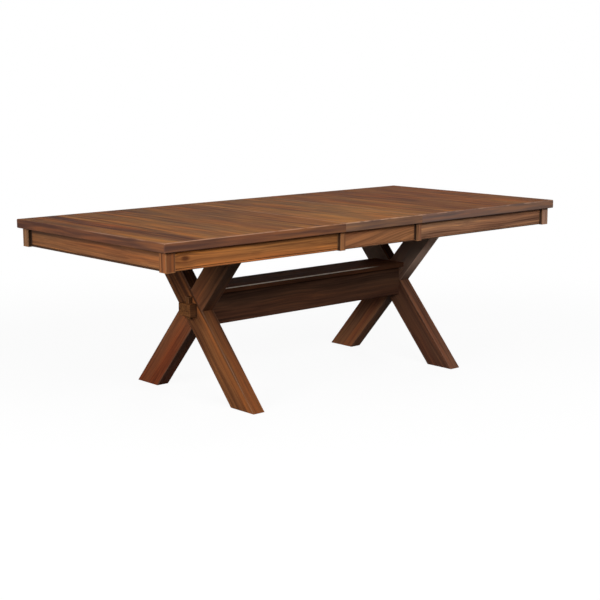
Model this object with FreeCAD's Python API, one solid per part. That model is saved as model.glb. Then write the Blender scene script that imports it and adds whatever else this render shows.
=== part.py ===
import FreeCAD
import Part
import math
import os

from FreeCAD import Vector

# A sawbuck dining table with a lift-out leaf. Lengths are in millimetres.
# X runs along the table, Y across it and Z up. The origin is on the floor, under the middle of the top.
# Left is towards -X and near is towards -Y.

# Whole table, with the leaf in place
table_length = 2286.0
table_width = 1066.8
table_height = 762.0
leaf_width = 457.2
seam_gap = 0.5
top_thickness = 38.0
top_edge_radius = 4.0

# Apron frame under the top
top_overhang = 18.0
post_width = 44.0
post_height = 78.0
post_edge_radius = 2.0
seam_post_width = 15.0
apron_height = 77.0
apron_thickness = 20.0
apron_recess = 12.5
bead_height = 8.0
quirk_width = 2.0
corner_block_reach = 33.5
corner_block_height = 50.0
corner_screw_share = 0.33

# Trestles: two crossed legs with a cleat on top
trestle_reach = 628.0
leg_thickness = 60.0
leg_width = 113.0
leg_edge_radius = 3.0
crossing_height = 381.0
foot_spread = 670.6
cleat_height = 34.0
cleat_overhang = 38.0
cleat_end_bevel = 16.0

# Stretcher: a core with through tenons, two cheeks and a cap
tenon_height = 54.0
tenon_side_wood = 11.0
tenon_stand_out = 38.0
tenon_bevel = 3.0
cheek_thickness = 27.0
stretcher_height = 136.0
stretcher_edge_radius = 3.0
cap_thickness = 22.0
cap_width = 196.0
joint_clearance = 0.2

# Wedge keys through the tenons
key_thickness = 22.0
key_top_depth = 22.0
key_bottom_depth = 17.0
key_stand_above = 28.0
key_drop_below = 14.0
key_edge_radius = 1.5

# Slides: two fixed rails, each with a runner on both sides
slide_height = 38.0
slide_spacing = 340.0
slide_clearance = 0.4
rail_overhang = 66.0
rail_width = 30.0
runner_width = 28.0
runner_end_gap = 50.0
runner_overlap = 80.0
tongue_depth = 7.0
tongue_height = 12.0
spare_travel = 40.0

# Rack and pinion that make both halves open together
gear_module = 2.5
pinion_teeth = 18
pressure_angle = math.radians(20)
gear_backlash = 0.5
pinion_thickness = 8.0
rack_thickness = 8.0
rack_back = 9.0
pinion_pin_radius = 4.0
pinion_pin_head_radius = 8.0
pinion_pin_head_height = 4.0
pinion_pin_depth = 20.0
pinion_bore_clearance = 0.1
addendum_share = 1.0
dedendum_share = 1.25
flank_steps = 5
spare_rack_teeth = 3

# Lugs on the halves that line up the leaf
lug_width = 40.0
lug_height = 16.0
lug_set_in = 20.0
lug_stand_out = 14.0
lug_outer_offset = 330.0
lug_inner_offset = 110.0
lug_clearance = 0.5

# Screws and bolts
screw_radius = 2.25
screw_head_radius = 4.75
screw_head_height = 3.0
screw_bite = 22.0
screw_clearance = 0.2
runner_screw_count = 4
runner_screw_margin = 50.0
bolt_radius = 4.0
bolt_head_radius = 8.0
bolt_head_height = 6.0
bolt_bite = 60.0

# Cuts run this far past the faces they open, and points this close count as one
cut_overrun = 1.0
same_point = 0.01
parallel_share = 0.001

# Heights and places worked out from the sizes above
up = Vector(0, 0, 1)
along_x = Vector(1, 0, 0)
underside = table_height - top_thickness
half_length = table_length / 2
half_width = table_width / 2
half_leaf = leaf_width / 2
leaf_edge = half_leaf - seam_gap
cleat_top = underside - slide_height
cleat_bottom = cleat_top - cleat_height
leg_inside = trestle_reach - leg_thickness
trestle_middle = trestle_reach - leg_thickness / 2
leg_slope = foot_spread / 2 / crossing_height
leg_level_half = leg_width / 2 * math.hypot(1, leg_slope)
leg_top_middle = leg_slope * (cleat_bottom - crossing_height)
cleat_half = leg_top_middle + leg_level_half + cleat_overhang
stretcher_bottom = crossing_height - stretcher_height / 2
stretcher_top = crossing_height + stretcher_height / 2
tenon_half = leg_level_half - leg_slope * tenon_height / 2 - joint_clearance - tenon_side_wood
tenon_bottom = crossing_height - tenon_height / 2
tenon_top = crossing_height + tenon_height / 2
post_face = half_width - top_overhang
end_post_face = half_length - top_overhang
apron_face = post_face - apron_recess
apron_inside = apron_face - apron_thickness
end_apron_inside = end_post_face - apron_recess - apron_thickness
post_inside = post_face - post_width
end_post_inside = end_post_face - post_width
apron_bottom = underside - apron_height
post_bottom = underside - post_height
rail_half = rail_width / 2
rail_reach = trestle_reach + rail_overhang
runner_bottom = cleat_top + slide_clearance
tongue_middle = (cleat_top + underside) / 2
pitch_radius = gear_module * pinion_teeth / 2
rack_pitch = gear_module * math.pi
pinion_top = cleat_top - slide_clearance
pinion_bottom = pinion_top - pinion_thickness
pin_head_top = pinion_bottom - slide_clearance
slide_places = {"near": -slide_spacing / 2, "far": slide_spacing / 2}
side_of = {"near": -1, "far": 1}
other_side = {"near": "far", "far": "near"}
left_lug_places = (lug_outer_offset, -lug_inner_offset)
right_lug_places = (-lug_outer_offset, lug_inner_offset)


def box(low, high):
    size = Vector(*high) - Vector(*low)
    return Part.makeBox(size.x, size.y, size.z, Vector(*low))


def prism(points, run):
    return Part.Face(Part.makePolygon(points + points[:1])).extrude(run)


def edges_along(shape, direction):
    chosen = []
    for edge in shape.Edges:
        run = edge.Vertexes[-1].Point - edge.Vertexes[0].Point
        if run.cross(direction).Length < parallel_share * run.Length * direction.Length:
            chosen.append(edge)
    return chosen


def edges_at(shape, **place):
    def lies_there(edge):
        points = [vertex.Point for vertex in edge.Vertexes]
        return all(abs(getattr(point, axis) - place[axis]) < same_point for point in points for axis in place)
    return [edge for edge in shape.Edges if lies_there(edge)]


def turned(shape):
    # The right end is the left end turned half round the table's middle
    copy = shape.copy()
    copy.rotate(Vector(0, 0, 0), up, 180)
    return copy


def fastener(spot, way, length, radius, head_radius, head_height, room=0):
    # Spot is the middle of the head's outer face, and way is 1 for up or -1 for down
    head = Part.makeCylinder(head_radius + room, head_height, spot, up * way)
    shank = Part.makeCylinder(radius + room, length + room, spot, up * way)
    return head.fuse(shank).removeSplitter()


def screw(x, y, bottom, top, room=0):
    length = top - bottom + screw_bite
    return fastener(Vector(x, y, bottom), 1, length, screw_radius, screw_head_radius, screw_head_height, room)


# Trestles

def leg_blank(foot_side):
    def edge_point(z, offset):
        return Vector(-trestle_reach, foot_side * leg_slope * (crossing_height - z) + offset, z)
    corners = [
        edge_point(0, -leg_level_half),
        edge_point(0, leg_level_half),
        edge_point(cleat_bottom, leg_level_half),
        edge_point(cleat_bottom, -leg_level_half),
    ]
    return prism(corners, along_x * leg_thickness)


def tenon_hole():
    reach = trestle_reach + tenon_stand_out
    half = tenon_half + joint_clearance
    return box((-reach, -half, tenon_bottom - joint_clearance), (reach, half, tenon_top + joint_clearance))


def leg_bolt(side, room=0):
    place = Vector(-trestle_middle, side * leg_top_middle, cleat_top)
    return fastener(place, -1, cleat_height + bolt_bite, bolt_radius, bolt_head_radius, bolt_head_height, room)


def rail_screw(side, room=0):
    place = Vector(-trestle_middle, side * slide_spacing / 2, underside - slide_clearance)
    length = slide_height - slide_clearance + screw_bite
    return fastener(place, -1, length, screw_radius, screw_head_radius, screw_head_height, room)


def left_trestle():
    near_blank = leg_blank(side_of["near"])
    far_blank = leg_blank(side_of["far"])
    bolt_holes = [leg_bolt(side, screw_clearance) for side in side_of.values()]
    outer_half = box((-trestle_reach, -half_width, 0), (-trestle_middle, half_width, cleat_bottom))
    inner_half = box((-trestle_middle, -half_width, 0), (-leg_inside, half_width, cleat_bottom))

    def finished(blank, foot_side, lap):
        lean = Vector(0, -foot_side * leg_slope, 1)
        leg = blank.makeFillet(leg_edge_radius, edges_along(blank, lean))
        return leg.cut(lap).cut(tenon_hole()).cut(bolt_holes)

    return {
        "left_leg_near_foot": finished(near_blank, side_of["near"], far_blank.common(inner_half)),
        "left_leg_far_foot": finished(far_blank, side_of["far"], near_blank.common(outer_half)),
        "left_cleat": cleat().cut(bolt_holes),
        "left_key": key(),
    }


def cleat():
    bevel_top = cleat_bottom + cleat_end_bevel
    corners = [
        Vector(-trestle_reach, -cleat_half, cleat_top),
        Vector(-trestle_reach, cleat_half, cleat_top),
        Vector(-trestle_reach, cleat_half, bevel_top),
        Vector(-trestle_reach, cleat_half - cleat_end_bevel, cleat_bottom),
        Vector(-trestle_reach, cleat_end_bevel - cleat_half, cleat_bottom),
        Vector(-trestle_reach, -cleat_half, bevel_top),
    ]
    screw_holes = [rail_screw(side, screw_clearance) for side in side_of.values()]
    return prism(corners, along_x * leg_thickness).cut(screw_holes)


def key_wedge(room=0):
    # The wedge's flat side bears on the leg, and its sloping side bears in the tenon
    half = key_thickness / 2 + room
    top = tenon_top + key_stand_above
    bottom = tenon_bottom - key_drop_below
    corners = [
        Vector(-trestle_reach, -half, bottom),
        Vector(-trestle_reach - key_bottom_depth, -half, bottom),
        Vector(-trestle_reach - key_top_depth, -half, top),
        Vector(-trestle_reach, -half, top),
    ]
    return prism(corners, Vector(0, 2 * half, 0))


def key():
    wedge = key_wedge()
    return wedge.makeFillet(key_edge_radius, wedge.Edges)


# Stretcher

def stretcher():
    half_beam = tenon_half + cheek_thickness
    reach = trestle_reach + tenon_stand_out
    tenons = box((-reach, -tenon_half, tenon_bottom), (reach, tenon_half, tenon_top))
    tenons = tenons.makeChamfer(tenon_bevel, edges_at(tenons, x=-reach) + edges_at(tenons, x=reach))
    core = box((-leg_inside, -tenon_half, stretcher_bottom), (leg_inside, tenon_half, stretcher_top))
    core = core.fuse(tenons).removeSplitter()
    slot = key_wedge(joint_clearance)
    cheek = box((-leg_inside, -half_beam, stretcher_bottom), (leg_inside, -tenon_half, stretcher_top))
    cheek = cheek.makeFillet(stretcher_edge_radius, edges_at(cheek, y=-half_beam, z=stretcher_bottom))
    cap_bottom = (-leg_inside, -cap_width / 2, stretcher_top)
    cap = box(cap_bottom, (leg_inside, cap_width / 2, stretcher_top + cap_thickness))
    return {
        "stretcher_core": core.cut([slot, turned(slot)]),
        "stretcher_cheek_near": cheek,
        "stretcher_cheek_far": turned(cheek),
        "stretcher_cap": cap.makeFillet(stretcher_edge_radius, edges_along(cap, along_x)),
    }


# Slides and gears

def rail(middle):
    low = (-rail_reach, middle - rail_half, cleat_top)
    body = box(low, (rail_reach, middle + rail_half, underside - slide_clearance))
    groove_half = tongue_height / 2 + slide_clearance
    groove_inside = rail_half - tongue_depth - slide_clearance
    grooves = [
        box((-rail_reach - cut_overrun, middle + start, tongue_middle - groove_half),
            (rail_reach + cut_overrun, middle + end, tongue_middle + groove_half))
        for start, end in ((-rail_half - cut_overrun, -groove_inside), (groove_inside, rail_half + cut_overrun))
    ]
    side = 1 if middle > 0 else -1
    holes = [rail_screw(side, screw_clearance), turned(rail_screw(-side, screw_clearance))]
    return body.cut(grooves + holes + [pinion_pin(middle, screw_clearance)])


def pinion_pin(middle, room=0):
    length = pinion_pin_head_height + slide_clearance + pinion_thickness + slide_clearance + pinion_pin_depth
    spot = Vector(0, middle, pin_head_top - pinion_pin_head_height)
    return fastener(spot, 1, length, pinion_pin_radius, pinion_pin_head_radius, pinion_pin_head_height, room)


def involute(angle):
    return math.tan(angle) - angle


def pinion(middle):
    base_radius = pitch_radius * math.cos(pressure_angle)
    tip_radius = pitch_radius + addendum_share * gear_module
    root_radius = pitch_radius - dedendum_share * gear_module
    half_tooth = math.pi / 2 / pinion_teeth - gear_backlash / 4 / pitch_radius
    flank = []
    for step in range(flank_steps + 1):
        radius = base_radius + (tip_radius - base_radius) * step / flank_steps
        opening = involute(math.acos(base_radius / radius))
        flank.append((radius, half_tooth + involute(pressure_angle) - opening))
    flank.insert(0, (root_radius, flank[0][1]))
    corners = []
    for tooth in range(pinion_teeth):
        centre = math.pi / 2 + 2 * math.pi * tooth / pinion_teeth
        tooth_points = [(radius, centre - turn) for radius, turn in flank]
        tooth_points += [(radius, centre + turn) for radius, turn in reversed(flank)]
        for radius, turn in tooth_points:
            corners.append(Vector(radius * math.cos(turn), middle + radius * math.sin(turn), pinion_bottom))
    bore = Part.makeCylinder(pinion_pin_radius + pinion_bore_clearance, pinion_thickness,
                             Vector(0, middle, pinion_bottom), up)
    return prism(corners, up * pinion_thickness).cut(bore)


def left_rack(middle):
    # The teeth point at the pinion, and a gap between two teeth faces its middle
    tip = middle - pitch_radius + addendum_share * gear_module
    root = middle - pitch_radius - dedendum_share * gear_module
    lean = math.tan(pressure_angle)
    half_tooth = rack_pitch / 4 - gear_backlash / 4
    half_tip = half_tooth - addendum_share * gear_module * lean
    half_root = half_tooth + dedendum_share * gear_module * lean
    first = -math.ceil(half_leaf / rack_pitch) - spare_rack_teeth
    last = math.ceil(spare_travel / rack_pitch) + spare_rack_teeth
    bottom = runner_bottom - rack_thickness
    corners = [Vector(first * rack_pitch, root - rack_back, bottom), Vector(first * rack_pitch, root, bottom)]
    for tooth in range(first, last):
        centre = (tooth + 1 / 2) * rack_pitch
        for offset, y in ((-half_root, root), (-half_tip, tip), (half_tip, tip), (half_root, root)):
            corners.append(Vector(centre + offset, y, bottom))
    corners += [Vector(last * rack_pitch, root, bottom), Vector(last * rack_pitch, root - rack_back, bottom)]
    return prism(corners, up * rack_thickness)


def runner_screws(middle, room=0):
    y = middle - rail_half - slide_clearance - runner_width / 2
    first = -end_apron_inside + runner_end_gap + runner_screw_margin
    last = -half_leaf - runner_screw_margin
    step = (last - first) / (runner_screw_count - 1)
    return [screw(first + step * place, y, runner_bottom, underside, room) for place in range(runner_screw_count)]


def left_runner(middle):
    start = -end_apron_inside + runner_end_gap
    inner_face = middle - rail_half - slide_clearance
    body = box((start, inner_face - runner_width, runner_bottom), (runner_overlap, inner_face, underside))
    tongue = box((start, inner_face, tongue_middle - tongue_height / 2),
                 (runner_overlap, middle - rail_half + tongue_depth, tongue_middle + tongue_height / 2))
    return body.fuse(tongue).removeSplitter().cut(runner_screws(middle, screw_clearance))


# Top sections and their aprons

def apron(start, run, inward):
    # Start is the outer lower corner. A bead runs along the lower edge, under a narrow quirk.
    def at(depth, height):
        return start + inward * depth + up * height
    bead_radius = bead_height / 2
    quirk_top = bead_height + quirk_width
    bead = Part.Arc(at(bead_radius, 0), at(0, bead_radius), at(bead_radius, bead_height)).toShape()
    outline = Part.makePolygon([
        at(bead_radius, bead_height),
        at(bead_radius, quirk_top),
        at(0, quirk_top),
        at(0, apron_height),
        at(apron_thickness, apron_height),
        at(apron_thickness, 0),
        at(bead_radius, 0),
    ])
    return Part.Face(Part.Wire([bead] + outline.Edges)).extrude(run)


def long_apron(start_x, end_x, side):
    start = Vector(start_x, side * apron_face, apron_bottom)
    return apron(start, Vector(end_x - start_x, 0, 0), Vector(0, -side, 0))


def post(start_x, end_x, side, inside):
    low_y, high_y = sorted((side * post_face, side * inside))
    body = box((start_x, low_y, post_bottom), (end_x, high_y, underside))
    return body.makeFillet(post_edge_radius, edges_along(body, up))


def corner_block(side):
    reach = corner_block_reach + apron_inside - post_inside
    reach_x = -end_post_inside + reach
    reach_y = side * (post_inside - reach)
    bottom = underside - corner_block_height
    corners = [
        Vector(-end_post_inside, side * apron_inside, bottom),
        Vector(reach_x, side * apron_inside, bottom),
        Vector(-end_apron_inside, reach_y, bottom),
        Vector(-end_apron_inside, side * post_inside, bottom),
        Vector(-end_post_inside, side * post_inside, bottom),
    ]
    return prism(corners, up * corner_block_height)


def corner_screw(side, room=0):
    set_in = corner_screw_share * corner_block_reach
    x = -end_post_inside + set_in
    y = side * (post_inside - set_in)
    return screw(x, y, underside - corner_block_height, underside, room)


def left_lug(y):
    low = (-half_leaf - lug_set_in, y - lug_width / 2, underside)
    return box(low, (-half_leaf + lug_stand_out, y + lug_width / 2, underside + lug_height))


def lug_notch(edge_x, inward, y):
    # A slot from below in an edge at edge_x, for a lug of the section beside it
    depth_x = edge_x + inward * (lug_stand_out + lug_clearance)
    open_x = edge_x - inward * cut_overrun
    half = lug_width / 2 + lug_clearance
    low = (min(open_x, depth_x), y - half, underside - cut_overrun)
    return box(low, (max(open_x, depth_x), y + half, underside + lug_height + lug_clearance))


def left_half():
    panel = box((-half_length, -half_width, underside), (-half_leaf, half_width, table_height))
    seam_edges = [edge.hashCode() for edge in edges_at(panel, x=-half_leaf)]
    outer_edges = [edge for edge in panel.Edges if edge.hashCode() not in seam_edges]
    panel = panel.makeFillet(top_edge_radius, outer_edges)
    lugs = [left_lug(y) for y in left_lug_places]
    notches = [lug_notch(-half_leaf, -1, y) for y in right_lug_places]
    screws = []
    screw_holes = []
    for room, group in ((0, screws), (screw_clearance, screw_holes)):
        group += [corner_screw(side, room) for side in side_of.values()]
        for middle in slide_places.values():
            group += runner_screws(middle, room)
    blocks = [corner_block(side).cut(corner_screw(side, screw_clearance)) for side in side_of.values()]
    end_start = Vector(-end_post_face + apron_recess, -post_inside, apron_bottom)
    pieces = {
        "top": panel.cut(lugs + notches + screw_holes),
        "apron_end": apron(end_start, Vector(0, 2 * post_inside, 0), along_x),
        "corner_blocks": Part.makeCompound(blocks),
        "leaf_lugs": Part.makeCompound(lugs),
        "screws": Part.makeCompound(screws),
    }
    for name, side in side_of.items():
        pieces["apron_" + name] = long_apron(-end_post_inside, -half_leaf - seam_post_width, side)
        pieces["post_" + name] = post(-end_post_face, -end_post_inside, side, post_inside)
        pieces["seam_post_" + name] = post(-half_leaf - seam_post_width, -half_leaf, side, apron_inside)
        pieces["runner_" + name] = left_runner(slide_places[name])
        pieces["rack_" + name] = left_rack(slide_places[name])
    return pieces


def leaf():
    panel = box((-leaf_edge, -half_width, underside), (leaf_edge, half_width, table_height))
    panel = panel.makeFillet(top_edge_radius, edges_along(panel, along_x))
    notches = [lug_notch(-leaf_edge, 1, y) for y in left_lug_places]
    notches += [lug_notch(leaf_edge, -1, y) for y in right_lug_places]
    pieces = {"leaf_top": panel.cut(notches)}
    post_inner = leaf_edge - seam_post_width
    for name, side in side_of.items():
        pieces["leaf_apron_" + name] = long_apron(-post_inner, post_inner, side)
        pieces["leaf_post_left_" + name] = post(-leaf_edge, -post_inner, side, apron_inside)
        pieces["leaf_post_right_" + name] = post(post_inner, leaf_edge, side, apron_inside)
    return pieces


def swapped_sides(name):
    words = [other_side.get(word, word) for word in name.split("_")]
    return "_".join(words)


def table():
    pieces = {}
    for name, shape in left_trestle().items():
        pieces[name] = shape
        pieces[swapped_sides(name).replace("left", "right")] = turned(shape)
    pieces.update(stretcher())
    bolts = [leg_bolt(side) for side in side_of.values()]
    screws = [rail_screw(side) for side in side_of.values()]
    pieces["leg_bolts"] = Part.makeCompound(bolts + [turned(bolt) for bolt in bolts])
    pieces["rail_screws"] = Part.makeCompound(screws + [turned(one) for one in screws])
    pieces["pinion_pins"] = Part.makeCompound([pinion_pin(middle) for middle in slide_places.values()])
    for name, middle in slide_places.items():
        pieces["rail_" + name] = rail(middle)
        pieces["pinion_" + name] = pinion(middle)
    for name, shape in left_half().items():
        pieces["left_" + name] = shape
        pieces["right_" + swapped_sides(name)] = turned(shape)
    pieces.update(leaf())
    return pieces


os.makedirs("parts", exist_ok=True)
all_pieces = table()
for piece_name, piece in all_pieces.items():
    piece.exportStep("parts/%s.step" % piece_name)
print("wrote", len(all_pieces), "pieces")
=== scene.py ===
import math

import bmesh
import bpy
from mathutils import Euler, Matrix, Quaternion, Vector


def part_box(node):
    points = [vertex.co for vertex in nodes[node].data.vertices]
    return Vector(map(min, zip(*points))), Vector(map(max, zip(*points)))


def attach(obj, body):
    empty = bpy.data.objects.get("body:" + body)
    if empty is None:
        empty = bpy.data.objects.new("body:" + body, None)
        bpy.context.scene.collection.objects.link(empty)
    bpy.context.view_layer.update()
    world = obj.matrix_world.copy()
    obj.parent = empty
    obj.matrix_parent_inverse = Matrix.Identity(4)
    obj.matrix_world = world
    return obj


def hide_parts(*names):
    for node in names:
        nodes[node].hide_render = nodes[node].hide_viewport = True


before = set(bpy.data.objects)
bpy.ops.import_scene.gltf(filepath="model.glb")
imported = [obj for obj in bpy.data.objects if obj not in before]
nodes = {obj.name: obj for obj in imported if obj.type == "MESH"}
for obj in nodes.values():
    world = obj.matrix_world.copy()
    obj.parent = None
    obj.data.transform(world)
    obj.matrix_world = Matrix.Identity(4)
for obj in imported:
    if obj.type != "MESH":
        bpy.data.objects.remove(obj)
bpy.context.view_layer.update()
print("frame loaded with", len(nodes), "nodes")


def srgb(red, green, blue):
    # a colour as a paint picker shows it, 0 to 255, made linear
    shares = [part / 255 for part in (red, green, blue)]
    linear = [share / 12.92 if share < 0.04 else ((share + 0.055) / 1.055) ** 2.4 for share in shares]
    return (*linear, 1.0)


white = srgb(255, 255, 255)


class Field:
    # one socket of a material, so that shader maths reads as plain sums
    def __init__(self, tree, socket=None):
        self.tree = tree
        self.socket = socket

    def node(self, kind, settings=None, sockets=None, output=0):
        made = self.tree.nodes.new(kind)
        for name, value in (settings or {}).items():
            setattr(made, name, value)
        for name, value in (sockets or {}).items():
            if isinstance(value, Field):
                self.tree.links.new(value.socket, made.inputs[name])
            else:
                made.inputs[name].default_value = value
        return Field(self.tree, made.outputs[output] if made.outputs else None)

    def math(self, operation, *values):
        return self.node("ShaderNodeMath", {"operation": operation}, dict(enumerate(values)))

    def __add__(self, other):
        return self.math("ADD", self, other)

    def __radd__(self, other):
        return self.math("ADD", other, self)

    def __sub__(self, other):
        return self.math("SUBTRACT", self, other)

    def __rsub__(self, other):
        return self.math("SUBTRACT", other, self)

    def __mul__(self, other):
        return self.math("MULTIPLY", self, other)

    def __rmul__(self, other):
        return self.math("MULTIPLY", other, self)

    def __truediv__(self, other):
        return self.math("DIVIDE", self, other)

    def __rtruediv__(self, other):
        return self.math("DIVIDE", other, self)

    def size(self):
        return self.math("ABSOLUTE", self)

    def floor(self):
        return self.math("FLOOR", self)

    def lesser(self, other):
        return self.math("MINIMUM", self, other)

    def greater(self, other):
        return self.math("MAXIMUM", self, other)

    def over(self, limit):
        return self.math("GREATER_THAN", self, limit)

    def clamped(self):
        return self.node("ShaderNodeClamp", {}, {"Value": self})

    def between(self, low, high):
        # 0 at low and 1 at high, with a soft start and end
        return self.node("ShaderNodeMapRange", {"interpolation_type": "SMOOTHSTEP"},
                         {"Value": self, "From Min": low, "From Max": high})

    def ramp(self, stops, blend="LINEAR"):
        made = self.node("ShaderNodeValToRGB", {}, {"Fac": self})
        colours = made.socket.node.color_ramp
        colours.interpolation = blend
        while len(colours.elements) < len(stops):
            colours.elements.new(1.0)
        for element, (place, colour) in zip(colours.elements, stops):
            element.position = place
            element.color = colour
        return made

    def mixed(self, other, share):
        # this colour turned towards another by a share
        return self.node("ShaderNodeMix", {"data_type": "RGBA"}, {0: share, 6: self, 7: other}, 2)

    def tinted(self, other, share):
        return self.node("ShaderNodeMix", {"data_type": "RGBA", "blend_type": "MULTIPLY"},
                         {0: share, 6: self, 7: other}, 2)

    def swapped(self, other, share):
        # these coordinates, or others where the share is 1
        return self.node("ShaderNodeMix", {"data_type": "VECTOR"}, {0: share, 4: self, 5: other}, 1)

    def parts(self):
        split = self.node("ShaderNodeSeparateXYZ", {}, {0: self}).socket.node
        return [Field(self.tree, socket) for socket in split.outputs]

    def joined(self, x, y, z):
        return self.node("ShaderNodeCombineXYZ", {}, {0: x, 1: y, 2: z})

    def vector(self, operation, *values, output=0):
        return self.node("ShaderNodeVectorMath", {"operation": operation}, dict(enumerate(values)), output)


def newMaterial(name):
    material = bpy.data.materials.new(name)
    material.use_nodes = True
    material.node_tree.nodes.clear()
    return material, Field(material.node_tree)


def finishMaterial(field, shader):
    field.node("ShaderNodeOutputMaterial", {}, {"Surface": shader})


# Wood. Grain runs along local X, and the pattern is centred on the piece.
grainTurns = {
    "x": Euler((0, 0, 0)),
    "y": Euler((0, 0, -math.pi / 2)),
    "z": Euler((0, math.pi / 2, 0)),
}

pieceSides = {  # axis and direction of each side, named as seen along the grain
    "head": (0, 1), "tail": (0, -1),
    "left": (1, 1), "right": (1, -1),
    "upper": (2, 1), "under": (2, -1),
}

layerSizes = {  # length and width of each layer's marks in metres, and the detail of its noise
    "patch": (0.45, 0.050, 3.0),
    "broad": (0.50, 0.024, 2.0),
    "streak": (0.30, 0.012, 3.0),
    "line": (0.60, 0.0035, 2.0),
    "fibre": (0.040, 0.0012, 2.0),
    "wash": (0.90, 0.150, 1.0),
    "sway": (0.40, 0.120, 1.0),
    "rubAndGlint": (0.25, 0.060, 2.0),
}
layerShift = {"gap": 5.0, "ways": (1.0, 1.7, 2.3)}  # layers of one piece don't repeat each other
seedGap = 3.7  # and neither do pieces

shadeSteps = {  # shares of a middle colour's red, green and blue, from deep grain to pale streaks
    0.0: (0.58, 0.52, 0.52),
    0.35: (0.88, 0.86, 0.86),
    0.6: (1.06, 1.05, 1.03),
    1.0: (1.34, 1.3, 1.15),
}
plainBoard = 0.5  # tone and streakiness of a board that is like the rest of its section
stripSoftness = 0.4  # how far a painted shade strip's inner edge fades each way, as a share of its width


def layer(coords, kind, seed, output=0):
    long, wide, detail = layerSizes[kind]
    start = seed + layerShift["gap"] * list(layerSizes).index(kind)
    shift = [start * way for way in layerShift["ways"]]
    stretched = coords.vector("MULTIPLY_ADD", coords, (1 / long, 1 / wide, 1 / wide), shift)
    return stretched.node("ShaderNodeTexNoise", {}, {
        "Vector": stretched, "Scale": 1.0, "Detail": detail}, output)


def swing(noise):
    # noise runs from 0 to 1, and its swing goes as far below nothing as above it
    return noise - 0.5


def shades(middle):
    stops = []
    for place, gains in shadeSteps.items():
        stops.append((place, srgb(*(min(255, part * gain) for part, gain in zip(middle, gains)))))
    return stops


def rings(coords, look, seed):
    # growth rings round a heart that lies under the board
    stretched = coords.vector("MULTIPLY_ADD", coords, (look["ringStretch"], 1, 1), (seed, *look["heart"]))
    settings = {"wave_type": "RINGS", "rings_direction": "X", "wave_profile": "SAW"}
    return stretched.node("ShaderNodeTexWave", settings, {
        "Vector": stretched, "Scale": look["ringScale"], "Distortion": look["ringWobble"],
        "Detail": look["ringDetail"], "Detail Scale": look["ringDetailScale"],
        "Detail Roughness": look["ringRoughness"]}, 1)


def swayed(coords, look, seed):
    # grain that wanders from side to side along the board
    push = layer(coords, "sway", seed, 1)
    push = push.vector("SUBTRACT", push, (0.5, 0.5, 0.5))
    return push.vector("MULTIPLY_ADD", push, (0, look["sway"], look["sway"]), coords)


def wornAndHighlitEdges(coords, half, look, seed):
    # painted highlights and wear along the arrises: the middle one of the distances to the three pairs of
    # faces is small along the arrises only
    parts = coords.parts()
    along, across, through = [size - part.size() for part, size in zip(parts, half)]
    middle = along.lesser(across).greater(along.greater(across).lesser(through))
    rubbedAndGlinting = layer(coords, "rubAndGlint", seed).between(*look["wearAndHighlightBreaks"])
    if "wearAndHighlightFrom" in look:
        rubbedAndGlinting = rubbedAndGlinting * parts[0].between(*look["wearAndHighlightFrom"])
    upper = parts[2].over(look["wearAndHighlightAbove"])
    return (1 - middle.between(look["wearAndHighlightWidth"] / 2, look["wearAndHighlightWidth"])) * rubbedAndGlinting * upper


def strip(side, end, share, start=0.0):
    # painted shade along one side of a piece, between two depths in from that side
    return {"side": side, "start": start, "end": end, "share": share}


# share of painted shade that a piece takes from all its strips
def paintedShadeMask(coords, half, strips):
    parts = coords.parts()
    paintedShade = 0
    for look in strips:
        axis, direction = pieceSides[look["side"]]
        depth = half[axis] - parts[axis] * direction
        soft = stripSoftness * (look["end"] - look["start"])
        dark = (1 - depth.between(look["end"] - soft, look["end"] + soft)) * look["share"]
        if look["start"]:
            dark = dark * depth.over(look["start"])
        paintedShade = dark.greater(paintedShade)
    return paintedShade


def paintedLightShare(coords, half, look):
    # painted light on one face of a piece, stronger further up the grain
    parts = coords.parts()
    axis, direction = pieceSides[look["side"]]
    face = (parts[axis] * direction).over(half[axis] - look["depth"])
    return parts[0].between(*look["rise"]) * face * look["share"]


def boardShades(coords, look, half):
    # boards glued side by side, counted from the table's left end, with less contrast at the back
    along, across = coords.parts()[:2]
    board = ((half[1] - across) / look["boardWidth"]).floor()
    count = len(look["boards"])
    stops = [(index / count, (*values, 1)) for index, values in enumerate(look["boards"])]
    tone, redness, contrast = ((board + 0.5) / count).ramp(stops, "CONSTANT").parts()
    front = 1 - along.between(-half[0], half[0])
    fade = front * look["backFade"] + 1 - look["backFade"]
    return board, (tone - plainBoard) * fade, redness, contrast / plainBoard


def boardPattern(coords, grain, look, half, seed):
    # each board has its own part of the grain, and a darker band covers the outer edges
    board, tone, redness, contrast = boardShades(coords, look, half)
    chance = board.node("ShaderNodeTexWhiteNoise", {"noise_dimensions": "1D"}, {"W": board + seed}, 1)
    grain = chance.vector("MULTIPLY_ADD", chance, look["boardJump"], grain)
    along, across, through = coords.parts()
    longEdge = along.size().over(half[0] - look["bandDepth"])
    band = longEdge.greater((across * look["endSide"]).over(half[1] - look["bandDepth"]))
    grain = grain.swapped(grain.joined(across, along, through), longEdge)
    tone = (tone + look["tone"]) * (1 - band) + band * look["bandTone"]
    redness = (redness + look["redness"]) * (1 - band) + band * look["bandRedness"]
    contrast = contrast * (1 - band) + band * look["bandContrast"]
    return grain, tone, redness, contrast, band


def knotPull(coords, knot):
    # grain lines swell round a knot that goes through the thickness of an apron
    along, through, across = coords.parts()
    aside = across - knot["across"]
    away = along.joined((along - knot["along"]) * knot["stretch"], 0, aside)
    reach = away.vector("LENGTH", away, output=1)
    swell = 1 - reach.between(0, knot["swellReach"])
    pulled = along.joined(along, through, aside * (1 - swell * knot["swell"]) + knot["across"])
    return pulled, 1 - reach.between(*knot["core"])


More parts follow.
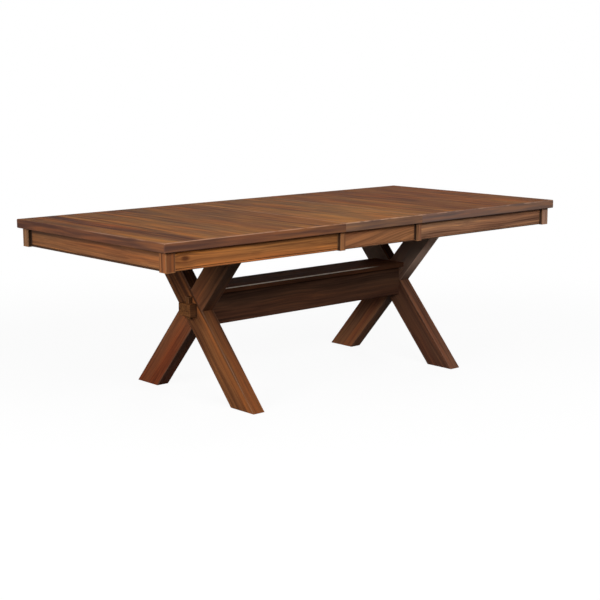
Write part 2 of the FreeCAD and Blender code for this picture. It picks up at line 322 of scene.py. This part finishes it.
def wood(name, look, centre, half, turn, seed):
    material, field = newMaterial(name + "_wood")
    place = field.node("ShaderNodeTexCoord", {}, {}, "Object")
    coords = field.node("ShaderNodeMapping", {"vector_type": "POINT"}, {
        "Vector": place, "Location": turn.to_matrix() @ -Vector(centre), "Rotation": turn})

    # way of the grain, and what shifts its tone and redness from place to place
    grain = swayed(coords, look, seed)
    tone = look["tone"]
    redness = look["redness"]
    contrast = 1
    if "tilt" in look:
        grain = grain.node("ShaderNodeVectorRotate", {"rotation_type": "Y_AXIS"},
                           {"Vector": grain, "Angle": look["tilt"]})
    if "knot" in look:
        grain, core = knotPull(grain, look["knot"])
        tone = tone - core * look["knot"]["darkness"]
    if "boards" in look:
        grain, tone, redness, contrast, band = boardPattern(coords, grain, look, half, seed)
    # tone along the grain; on the legs it falls up the leg as painted shade under the top, and rises on one
    # as painted light
    if "rise" in look:
        along = coords.parts()[0]
        tone = along * look["rise"]["tone"] + tone
        redness = along * look["rise"]["redness"] + redness
    grain = grain.vector("MULTIPLY", grain, (1 / look["stretch"], 1, 1))

    # marks of the grain
    patch, broad, streak, line, fibre, wash = [
        layer(grain, kind, seed) for kind in ("patch", "broad", "streak", "line", "fibre", "wash")]
    ring = rings(grain, look, seed)
    wash = wash.between(*look["washEdges"])
    tone = swing(patch) * look["patch"] + swing(broad) * look["broad"] * contrast + tone
    tone = swing(streak) * look["streak"] * contrast + swing(line) * look["line"] + tone
    tone = swing(ring) * look["ring"] + swing(fibre) * look["fibre"] + tone
    redness = swing(wash) * look["redSpread"] + swing(patch) * look["redPatch"] + redness

    # colour, then painted shade, painted highlights with wear, and painted light on top of it
    colour = tone.clamped().ramp(shades(look["middle"])).tinted(look["red"], redness.clamped())
    if "boards" in look:
        colour = colour.mixed(look["bandColour"], band * look["bandShare"])
    # painted shade along sides, in corners and under other parts
    if "paintedShadeStrips" in look:
        colour = colour.mixed(look["paintedShade"], paintedShadeMask(coords, half, look["paintedShadeStrips"]))
    # painted highlights with wear on the arrises
    colour = colour.mixed(look["wearAndHighlight"], wornAndHighlitEdges(coords, half, look, seed) * look["wearAndHighlightShare"])
    # painted light on shaded faces
    for face in look.get("paintedLitFaces", ()):
        colour = colour.mixed(face["colour"], paintedLightShare(coords, half, face))
    roughness = swing(fibre) * look["roughFibre"] + swing(patch) * look["roughPatch"] + look["roughness"]
    height = fibre * look["bumpFibre"] + line * look["bumpLine"]
    normal = height.node("ShaderNodeBump", {}, {
        "Strength": look["bump"], "Distance": look["bumpDepth"], "Height": height})
    finishMaterial(field, field.node("ShaderNodeBsdfPrincipled", {}, {
        "Base Color": colour, "Roughness": roughness, "Normal": normal, "Specular IOR Level": look["gloss"]}))
    return material


def dress(name, material):
    for slot in nodes[name].material_slots:
        slot.material = material


def seedOf(name):
    return seedGap * sorted(nodes).index(name)


def dressWood(name, look, grain):
    low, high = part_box(name)
    turn = grainTurns[grain]
    half = [abs(size) for size in turn.to_matrix() @ ((high - low) / 2)]
    dress(name, wood(name, look, (low + high) / 2, half, turn, seedOf(name)))


commonWood = {
    "tone": 0.5, "patch": 0.8, "broad": 0.9, "streak": 1.1, "line": 0.6, "ring": 0.15, "fibre": 0.35,
    "sway": 0.03, "stretch": 1.6,
    "heart": (0.02, -0.09), "ringStretch": 0.05, "ringScale": 32.0, "ringWobble": 5.0,
    "ringDetail": 3.0, "ringDetailScale": 0.6, "ringRoughness": 0.6,
    "redness": 0.25, "redSpread": 0.4, "redPatch": 0.9, "red": srgb(230, 176, 166), "washEdges": (0.35, 0.65),
    "roughness": 0.55, "roughFibre": 0.16, "roughPatch": 0.14, "gloss": 0.06,
    "bump": 0.2, "bumpDepth": 0.0008, "bumpFibre": 0.6, "bumpLine": 0.4,
    # painted highlights with wear along arrises: width, breaks, share and height
    "wearAndHighlightWidth": 0.0045, "wearAndHighlightBreaks": (0.25, 0.6), "wearAndHighlightShare": 0.5, "wearAndHighlightAbove": -1.0,
    # pale colour of those painted highlights with wear, and dark colour of painted shade
    "wearAndHighlight": srgb(182, 138, 104), "paintedShade": srgb(42, 30, 25),
}

# Top: boards glued across the table, with a darker band round its edges
topLook = {
    **commonWood, "middle": (113, 75, 41), "roughness": 0.62, "gloss": 0.02,
    "boardWidth": 0.0915, "boardJump": (9.0, 0.4, 0.3), "backFade": 0.5,
    "patch": 1.3, "broad": 1.6, "streak": 0.8, "line": 0.8, "stretch": 0.8,
    "rise": {"tone": -0.15, "redness": 0.15}, "redness": 0.1, "redPatch": 0.7,
    "bandDepth": 0.0035, "bandShare": 0.5, "bandContrast": 2.0,
    # pale arris lines of the top are painted highlights with some wear
    "wearAndHighlightShare": 0.4, "wearAndHighlightBreaks": (0.45, 0.7), "wearAndHighlightAbove": 0.0145, "wearAndHighlight": srgb(196, 152, 122),
}
topSections = {  # boards have a tone, a redness and a streakiness each
    "left_top": {
        "endSide": 1, "bandTone": 0.36, "bandRedness": 0.35, "bandColour": srgb(98, 71, 63),
        "wearAndHighlightFrom": (0.1, -0.2), "wearAndHighlightBreaks": (0.25, 0.5),
        "boards": (
            (0.54, 0.0, 0.5), (0.15, 0.5, 0.5), (0.52, 0.0, 0.6), (0.52, 0.05, 0.5), (0.55, 0.1, 0.5),
            (0.48, 0.2, 0.5), (0.54, 0.1, 0.4), (0.47, 0.15, 0.5), (0.42, 0.12, 0.6), (0.57, 0.05, 0.5)),
    },
    "leaf_top": {
        "middle": (120, 82, 46), "endSide": 0, "bandTone": 0.4, "bandRedness": 0.2,
        "bandColour": srgb(110, 90, 84), "wearAndHighlightShare": 0.6, "wearAndHighlightBreaks": (0.3, 0.55),
        "boards": (
            (0.6, 0.0, 0.5), (0.53, 0.15, 0.5), (0.54, 0.2, 0.4), (0.5, 0.1, 0.5), (0.57, 0.05, 0.5)),
    },
    "right_top": {
        "middle": (116, 75, 39), "endSide": -1, "bandTone": 0.4, "bandRedness": 0.2,
        "bandColour": srgb(124, 108, 104), "wearAndHighlightShare": 0.5,
        "boards": (
            (0.55, 0.1, 0.5), (0.5, 0.15, 0.5), (0.56, 0.1, 0.5), (0.4, 0.35, 0.5), (0.4, 0.4, 0.4),
            (0.45, 0.25, 0.5), (0.47, 0.3, 0.4), (0.5, 0.2, 0.5), (0.48, 0.3, 0.5), (0.43, 0.35, 0.5)),
    },
}
for name, section in topSections.items():
    dressWood(name, {**topLook, **section}, "y")

# Aprons: golden boards with grain along each, with painted shade under the top, along the bead and at the
# posts
apronLook = {
    **commonWood, "middle": (154, 102, 57), "wearAndHighlight": srgb(190, 138, 88), "wearAndHighlightShare": 0.15,
    "paintedShadeStrips": [strip("upper", 0.004, 0.8), strip("under", 0.005, 0.8),
                    strip("head", 0.005, 0.9), strip("tail", 0.005, 0.9)],
}
endApronLook = {
    "middle": (130, 92, 60), "redness": 0.3, "rise": {"tone": -0.25, "redness": 0.3},
    # painted shadow of the top's overhang along the upper side, and painted shade along the bead and at the
    # posts
    "paintedShadeStrips": [strip("upper", 0.019, 0.5), strip("under", 0.008, 0.9),
                    strip("head", 0.011, 1.0), strip("tail", 0.005, 0.6)],
}
leafApronLook = {"middle": (146, 103, 69), "patch": 0.5, "broad": 0.5, "streak": 0.6}
knotLook = {"along": -0.364, "across": 0.0, "stretch": 0.7, "swell": 0.6, "swellReach": 0.06,
            "core": (0.002, 0.02), "darkness": 0.5}
apronExtras = {
    "left_apron_end": endApronLook,
    "right_apron_end": endApronLook,
    "left_apron_near": {
        "wearAndHighlightShare": 0.35, "knot": knotLook,
        # painted shade under the top, in the quirk above the bead, under the bead and at the post
        "paintedShadeStrips": [strip("upper", 0.004, 0.8), strip("under", 0.0105, 0.9, start=0.0078),
                        strip("under", 0.0015, 0.7), strip("head", 0.005, 0.9)],
    },
    "leaf_apron_near": {**leafApronLook, "tilt": 0.16},
    "leaf_apron_far": {**leafApronLook, "tilt": -0.16},
    "right_apron_near": {"middle": (151, 116, 88)},
}
for name in nodes:
    if "apron" in name:
        dressWood(name, {**apronLook, **apronExtras.get(name, {})}, "y" if "apron_end" in name else "x")

# Posts: upright grain, with painted shade where aprons meet them
postLook = {**apronLook, "middle": (134, 88, 54), "wearAndHighlightShare": 0.25}
# painted shade in the corner where an apron meets a post
postPaintedShade = {"depth": 0.0015, "share": 0.9}


def apronStrips(name, share):
    # sides are those of upright grain: upper faces the table's left end, and left its far side
    low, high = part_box(name)
    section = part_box(name.split("_")[0] + "_top")
    met = ["upper" if low.x + high.x > section[0].x + section[1].x else "under"]
    if name.startswith(("left_post", "right_post")):
        met.append("left" if low.y < 0 else "right")
    return [strip(side, postPaintedShade["depth"], share) for side in met]


postExtras = {
    "left_post_near": {
        "streak": 1.6,
        # painted shade also on the near face of the near-left post
        "paintedShadeStrips": apronStrips("left_post_near", 0.5) + [strip("right", 0.002, 0.5)],
    },
    # darker painted shade beside the far-left post
    "left_post_far": {"middle": (138, 101, 71), "paintedShade": srgb(20, 13, 10)},
    "left_seam_post_near": {"middle": (135, 93, 61)},
    "leaf_post_left_near": {"middle": (135, 93, 61)},
    "leaf_post_right_near": {"middle": (122, 86, 62)},
    "right_seam_post_near": {"middle": (122, 86, 66)},
    "right_post_near": {"middle": (172, 146, 124)},
}
for name in nodes:
    if "post" in name:
        strips = apronStrips(name, postPaintedShade["share"])
        dressWood(name, {**postLook, "paintedShadeStrips": strips, **postExtras.get(name, {})}, "z")

# Legs: browner, with grain up the slope. Upper faces the table's left end, and right its near side.
# pale arris lines of the legs are painted highlights with some wear
legLook = {**commonWood, "wearAndHighlight": srgb(150, 114, 92), "wearAndHighlightShare": 0.3, "redPatch": 1.4, "gloss": 0.02}
# painted light on the shaded upper parts of the right trestle's legs, inner and near faces
innerPaintedLight = {"side": "upper", "depth": 0.003, "rise": (-0.04, 0.38), "share": 0.9,
             "colour": srgb(182, 158, 142)}
nearPaintedLight = {"side": "right", "depth": 0.003, "rise": (0.02, 0.3), "share": 0.95,
            "colour": srgb(250, 208, 184)}
# dark strips on the legs' sides and towards their tops are painted shade; tone falling up a leg is painted
# shade under the top, rising on right_leg_near_foot is painted light
legExtras = {
    "left_leg_near_foot": {
        "middle": (119, 76, 46), "redness": 0.15, "tone": 0.42, "patch": 1.2, "broad": 1.5,
        "rise": {"tone": -0.45, "redness": 0.0},
        "paintedShadeStrips": [strip("right", 0.003, 0.4), strip("left", 0.003, 0.5)],
    },
    "left_leg_far_foot": {
        "middle": (121, 84, 58), "redness": 0.38, "streak": 0.7, "broad": 0.7,
        "rise": {"tone": -0.2, "redness": -1.25}, "paintedShade": srgb(30, 21, 16),
        "paintedShadeStrips": [strip("right", 0.003, 0.55), strip("head", 0.72, 0.45)],
    },
    "right_leg_near_foot": {
        "middle": (110, 78, 60), "redness": 0.12, "tone": 0.62, "rise": {"tone": 0.5, "redness": -0.3},
        "paintedShadeStrips": [strip("left", 0.003, 0.5), strip("upper", 0.003, 0.25)],
        "paintedLitFaces": [{**innerPaintedLight, "rise": (-0.04, 0.3)}],
    },
    "right_leg_far_foot": {
        "middle": (138, 100, 76), "redness": 0.25, "tone": 0.42, "streak": 0.7, "broad": 0.7,
        "rise": {"tone": -1.0, "redness": -0.8}, "paintedShade": srgb(52, 39, 33),
        "paintedShadeStrips": [strip("right", 0.003, 0.65), strip("head", 0.72, 0.45)],
        "paintedLitFaces": [innerPaintedLight, nearPaintedLight],
    },
}
legShape = {"width": 0.113, "crossing": 0.381, "spread": 0.3353}
for name, extras in legExtras.items():
    low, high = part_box(name)
    lean = math.atan(legShape["spread"] / legShape["crossing"])
    if "far_foot" in name:
        lean = -lean
    centre = ((low.x + high.x) / 2, 0, legShape["crossing"])
    half = ((high - low).length, legShape["width"] / 2, (high.x - low.x) / 2)
    dress(name, wood(name, {**legLook, **extras}, centre, half, Euler((lean, math.pi / 2, 0)), seedOf(name)))

# Stretcher, with a painted highlight along part of its cap's edge, and keys
# the stretcher's middle colour is painted darker than the legs', as painted shade under the table; cap and
# core take their own
stretcherLook = {**commonWood, "middle": (77, 54, 41), "wearAndHighlightShare": 0.0, "gloss": 0.01, "roughness": 0.6}
stretcherExtras = {
    "stretcher_cap": {
        # the pale line along the cap's upper front arris is a painted highlight
        "middle": (110, 75, 55), "gloss": 0.004, "wearAndHighlight": srgb(240, 224, 208), "wearAndHighlightShare": 0.9,
        "wearAndHighlightBreaks": (0.0, 0.1), "wearAndHighlightAbove": 0.0, "wearAndHighlightFrom": (0.42, 0.28), "paintedShade": srgb(40, 26, 18),
        # painted shade along the cap's sides
        "paintedShadeStrips": [strip("right", 0.003, 0.55), strip("left", 0.003, 0.55)],
    },
    "stretcher_core": {  # painted shade on its long sides, and on the tenons next to the legs
        "middle": (118, 78, 46),
        "paintedShadeStrips": [strip("right", 0.0015, 0.5), strip("left", 0.0015, 0.5),
                        strip("tail", 0.041, 0.7, start=0.031), strip("head", 0.041, 0.7, start=0.031)],
    },
}
keyLook = {**legLook, "middle": (97, 66, 40)}
for name in nodes:
    if "stretcher" in name:
        dressWood(name, {**stretcherLook, **stretcherExtras.get(name, {})}, "x")
    elif name.endswith("_key"):
        dressWood(name, keyLook, "z")

# Hidden pieces: pale unfinished wood
plainLook = {**commonWood, "middle": (182, 144, 102), "roughness": 0.65, "wearAndHighlightShare": 0.1, "redness": 0.1}
for name in nodes:
    if "cleat" in name or "lugs" in name or "corner" in name:
        dressWood(name, plainLook, "y")
    elif "runner" in name or name in ("rail_near", "rail_far"):
        dressWood(name, plainLook, "x")
print("wood set")


def specked(name, look):
    # moulded or plated surfaces, with a fine grit and slow clouds
    material, field = newMaterial(name)
    place = field.node("ShaderNodeTexCoord", {}, {}, "Object")
    grit, cloud = [
        field.node("ShaderNodeTexNoise", {}, {"Vector": place, "Scale": scale, "Detail": look["detail"]})
        for scale in (look["gritScale"], look["cloudScale"])]
    roughness = swing(grit) * look["roughSpread"] + look["roughness"]
    normal = grit.node("ShaderNodeBump", {}, {
        "Strength": look["bump"], "Distance": look["bumpDepth"], "Height": grit})
    finishMaterial(field, field.node("ShaderNodeBsdfPrincipled", {}, {
        "Base Color": cloud.ramp(look["stops"]), "Metallic": look["metal"], "Roughness": roughness,
        "Normal": normal}))
    return material


# Gears and fasteners
gearLook = {
    "metal": 0.0, "roughness": 0.5, "roughSpread": 0.15,
    "gritScale": 900.0, "cloudScale": 40.0, "detail": 2.0, "bump": 0.1, "bumpDepth": 0.0003,
    "stops": ((0.3, srgb(196, 190, 176)), (0.7, srgb(214, 209, 196))),
}
screwLook = {
    "metal": 1.0, "roughness": 0.35, "roughSpread": 0.2,
    "gritScale": 700.0, "cloudScale": 60.0, "detail": 2.0, "bump": 0.08, "bumpDepth": 0.0002,
    "stops": ((0.3, srgb(150, 148, 140)), (0.7, srgb(186, 184, 176))),
}
gearNylon = specked("gear_nylon", gearLook)
screwSteel = specked("screw_steel", screwLook)
for name in nodes:
    if "rack" in name or name in ("pinion_near", "pinion_far"):
        dress(name, gearNylon)
    elif name in ("rail_screws", "leg_bolts"):
        dress(name, screwSteel)

# Screws and pins seen from below: rounded heads with a hexagon socket
screwShape = {
    "headHeight": 0.003, "shankRadius": 0.00225, "rounding": 0.0012, "roundingSteps": 3,
    "socket": 0.0022, "socketDepth": 0.002, "segments": 24,
}
pinShape = {
    "headHeight": 0.004, "shankRadius": 0.004, "rounding": 0.0015, "roundingSteps": 3,
    "socket": 0.0035, "socketDepth": 0.0028, "segments": 24,
}
screwSets = {
    "left_screws": {**screwShape, "body": "left_half"},
    "right_screws": {**screwShape, "body": "right_half"},
    "pinion_pins": {**pinShape, "body": "base"},
}
mergeReach = {"solids": 0.00001, "screws": 0.000001}


def solidBoxes(name):
    # lowest and highest corner of each separate solid of a node
    copy = bmesh.new()
    copy.from_mesh(nodes[name].data)
    bmesh.ops.remove_doubles(copy, verts=copy.verts, dist=mergeReach["solids"])
    reached = set()
    boxes = []
    for start in copy.verts:
        if start in reached:
            continue
        reached.add(start)
        solid = [start]
        for vert in solid:
            others = [edge.other_vert(vert) for edge in vert.link_edges]
            solid += [other for other in others if other not in reached]
            reached.update(others)
        spans = list(zip(*(vert.co for vert in solid)))
        boxes.append((Vector(map(min, spans)), Vector(map(max, spans))))
    copy.free()
    return boxes


def makeScrew(low, high, look):
    # head at the bottom, shank above it, made upright at the origin and then moved to its place
    screw = bmesh.new()
    radius = (high.x - low.x) / 2
    bmesh.ops.create_cone(screw, cap_ends=True, segments=look["segments"], radius1=radius, radius2=radius,
                          depth=look["headHeight"])
    bmesh.ops.translate(screw, verts=screw.verts, vec=(0, 0, look["headHeight"] / 2))
    caps = [face for face in screw.faces if len(face.verts) == look["segments"]]
    socket, seat = sorted(caps, key=lambda face: face.calc_center_median().z)
    bmesh.ops.inset_region(screw, faces=[seat], thickness=radius - look["shankRadius"])
    tip = bmesh.ops.extrude_discrete_faces(screw, faces=[seat])["faces"][0]
    bmesh.ops.translate(screw, verts=tip.verts, vec=(0, 0, high.z - low.z - look["headHeight"]))
    rim = list(socket.edges)
    bmesh.ops.inset_region(screw, faces=[socket], thickness=radius - look["socket"])
    sector = math.pi / 3  # one side of the hexagon
    for vert in socket.verts:
        turn = math.atan2(vert.co.y, vert.co.x) % sector - sector / 2
        across = Vector((vert.co.x, vert.co.y, 0)).normalized() * look["socket"] / math.cos(turn)
        vert.co = (across.x, across.y, vert.co.z)
    bottom = bmesh.ops.extrude_discrete_faces(screw, faces=[socket])["faces"][0]
    bmesh.ops.translate(screw, verts=bottom.verts, vec=(0, 0, look["socketDepth"]))
    bmesh.ops.bevel(screw, geom=rim, offset=look["rounding"], affect="EDGES", segments=look["roundingSteps"],
                    profile=0.5, material=-1)
    middle = (low + high) / 2
    bmesh.ops.translate(screw, verts=screw.verts, vec=(middle.x, middle.y, low.z))
    return screw


def makeScrewSet(name, look):
    mesh = bpy.data.meshes.new(name + "_detail")
    together = bmesh.new()
    for low, high in solidBoxes(name):
        screw = makeScrew(low, high, look)
        screw.to_mesh(mesh)
        screw.free()
        together.from_mesh(mesh)
    bmesh.ops.remove_doubles(together, verts=together.verts, dist=mergeReach["screws"])
    bmesh.ops.recalc_face_normals(together, faces=together.faces)
    together.to_mesh(mesh)
    together.free()
    mesh.materials.append(screwSteel)
    piece = bpy.data.objects.new(name + "_detail", mesh)
    bpy.context.scene.collection.objects.link(piece)
    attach(piece, look["body"])
    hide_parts(name)


for name, look in screwSets.items():
    makeScrewSet(name, look)
print("nylon and steel set")

# Floor: white to the camera, with the table's soft shadow left on it
floorLook = {"reach": 60.0, "glow": 0.92, "fade": (1.6, 3.6), "colour": srgb(246, 246, 246),
             "bounce": srgb(64, 63, 62)}


def shownRays(field):
    # camera rays, and all rays that show the surroundings: those, mirrored ones and bent ones
    path = field.node("ShaderNodeLightPath").socket.node
    seen, glossy, through = [Field(field.tree, path.outputs[name]) for name in (
        "Is Camera Ray", "Is Glossy Ray", "Is Transmission Ray")]
    return seen, (seen + glossy + through).clamped()


def makeFloor(look):
    material, field = newMaterial("studio_floor")
    seen, shown = shownRays(field)
    place = field.node("ShaderNodeTexCoord", {}, {}, "Object")
    far = place.vector("LENGTH", place, output=1).between(*look["fade"])
    glow = field.node("ShaderNodeEmission", {}, {"Color": white, "Strength": 1.0})
    pale = field.node("ShaderNodeBsdfDiffuse", {}, {"Color": look["colour"]})
    grey = field.node("ShaderNodeBsdfDiffuse", {}, {"Color": look["bounce"]})
    bright = (1 - far) * seen * look["glow"] + far
    front = field.node("ShaderNodeMixShader", {}, {0: bright, 1: pale, 2: glow})
    upper = field.node("ShaderNodeMixShader", {}, {0: shown, 1: grey, 2: front})
    below = field.node("ShaderNodeNewGeometry", {}, {}, "Backfacing")
    clear = field.node("ShaderNodeBsdfTransparent")  # the underside can be looked at through the floor
    finishMaterial(field, field.node("ShaderNodeMixShader", {}, {0: below, 1: upper, 2: clear}))
    mesh = bpy.data.meshes.new("studio_floor")
    reach = look["reach"]
    corners = [(-reach, -reach, 0), (reach, -reach, 0), (reach, reach, 0), (-reach, reach, 0)]
    mesh.from_pydata(corners, [], [(0, 1, 2, 3)])
    mesh.materials.append(material)
    floor = bpy.data.objects.new("studio_floor", mesh)
    bpy.context.scene.collection.objects.link(floor)


makeFloor(floorLook)

# Light: one broad lamp overhead, one at each shown side, and one at the back that leaves no glare on the top
lampLooks = {
    "overhead": {"place": (-0.3, -0.9, 3.3), "aim": (0, 0, 0.7), "size": (3.6, 2.4), "watts": 19},
    "near_side": {"place": (-1.0, -4.0, 2.6), "aim": (0, 0, 0.5), "size": (3.6, 1.6), "watts": 160},
    "end_side": {"place": (-4.6, -0.9, 1.9), "aim": (0, 0, 0.5), "size": (2.8, 2.2), "watts": 150},
    "back_corner": {"place": (3.4, 3.4, 2.2), "aim": (0, 0, 0.5), "size": (3.2, 2.0), "watts": 110,
                    "glare": False},
}
for name, look in lampLooks.items():
    lamp = bpy.data.lights.new(name, "AREA")
    lamp.shape = "RECTANGLE"
    lamp.size, lamp.size_y = look["size"]
    lamp.energy = look["watts"]
    holder = bpy.data.objects.new(name, lamp)
    holder.location = look["place"]
    holder.rotation_euler = (Vector(look["aim"]) - Vector(look["place"])).to_track_quat("-Z", "Y").to_euler()
    holder.visible_glossy = look.get("glare", True)
    bpy.context.scene.collection.objects.link(holder)

# Surroundings: white to look at, and a weak warm light on the table
surroundLook = {"ambient": 0.12, "colour": (1.0, 0.98, 0.95, 1.0)}
world = bpy.data.worlds.new("studio")
bpy.context.scene.world = world
world.use_nodes = True
world.node_tree.nodes.clear()
air = Field(world.node_tree)
shown = shownRays(air)[1]
soft = air.node("ShaderNodeBackground", {}, {
    "Color": surroundLook["colour"], "Strength": surroundLook["ambient"]})
clear = air.node("ShaderNodeBackground", {}, {"Color": white, "Strength": 1.0})
surround = air.node("ShaderNodeMixShader", {}, {0: shown, 1: soft, 2: clear})
air.node("ShaderNodeOutputWorld", {}, {"Surface": surround})
print("floor and lamps set")

# Camera at the photograph's place
cameraLook = {"place": (-3.9060, -4.3876, 1.3981), "aim": (0.0473, 0.0631, 0.3296), "roll": -0.189,
              "lens": 78.34, "sensor": 36.0, "reach": 200.0}
camera = bpy.data.cameras.new("photo_camera")
camera.lens = cameraLook["lens"]
camera.sensor_width = cameraLook["sensor"]
camera.clip_end = cameraLook["reach"]
cameraHolder = bpy.data.objects.new("photo_camera", camera)
cameraHolder.location = cameraLook["place"]
aim = Vector(cameraLook["aim"]) - Vector(cameraLook["place"])
level = aim.to_track_quat("-Z", "Y")
cameraHolder.rotation_euler = (level @ Quaternion((0, 0, 1), math.radians(cameraLook["roll"]))).to_euler()
bpy.context.scene.collection.objects.link(cameraHolder)
bpy.context.scene.camera = cameraHolder
bpy.context.scene.view_settings.view_transform = "Standard"
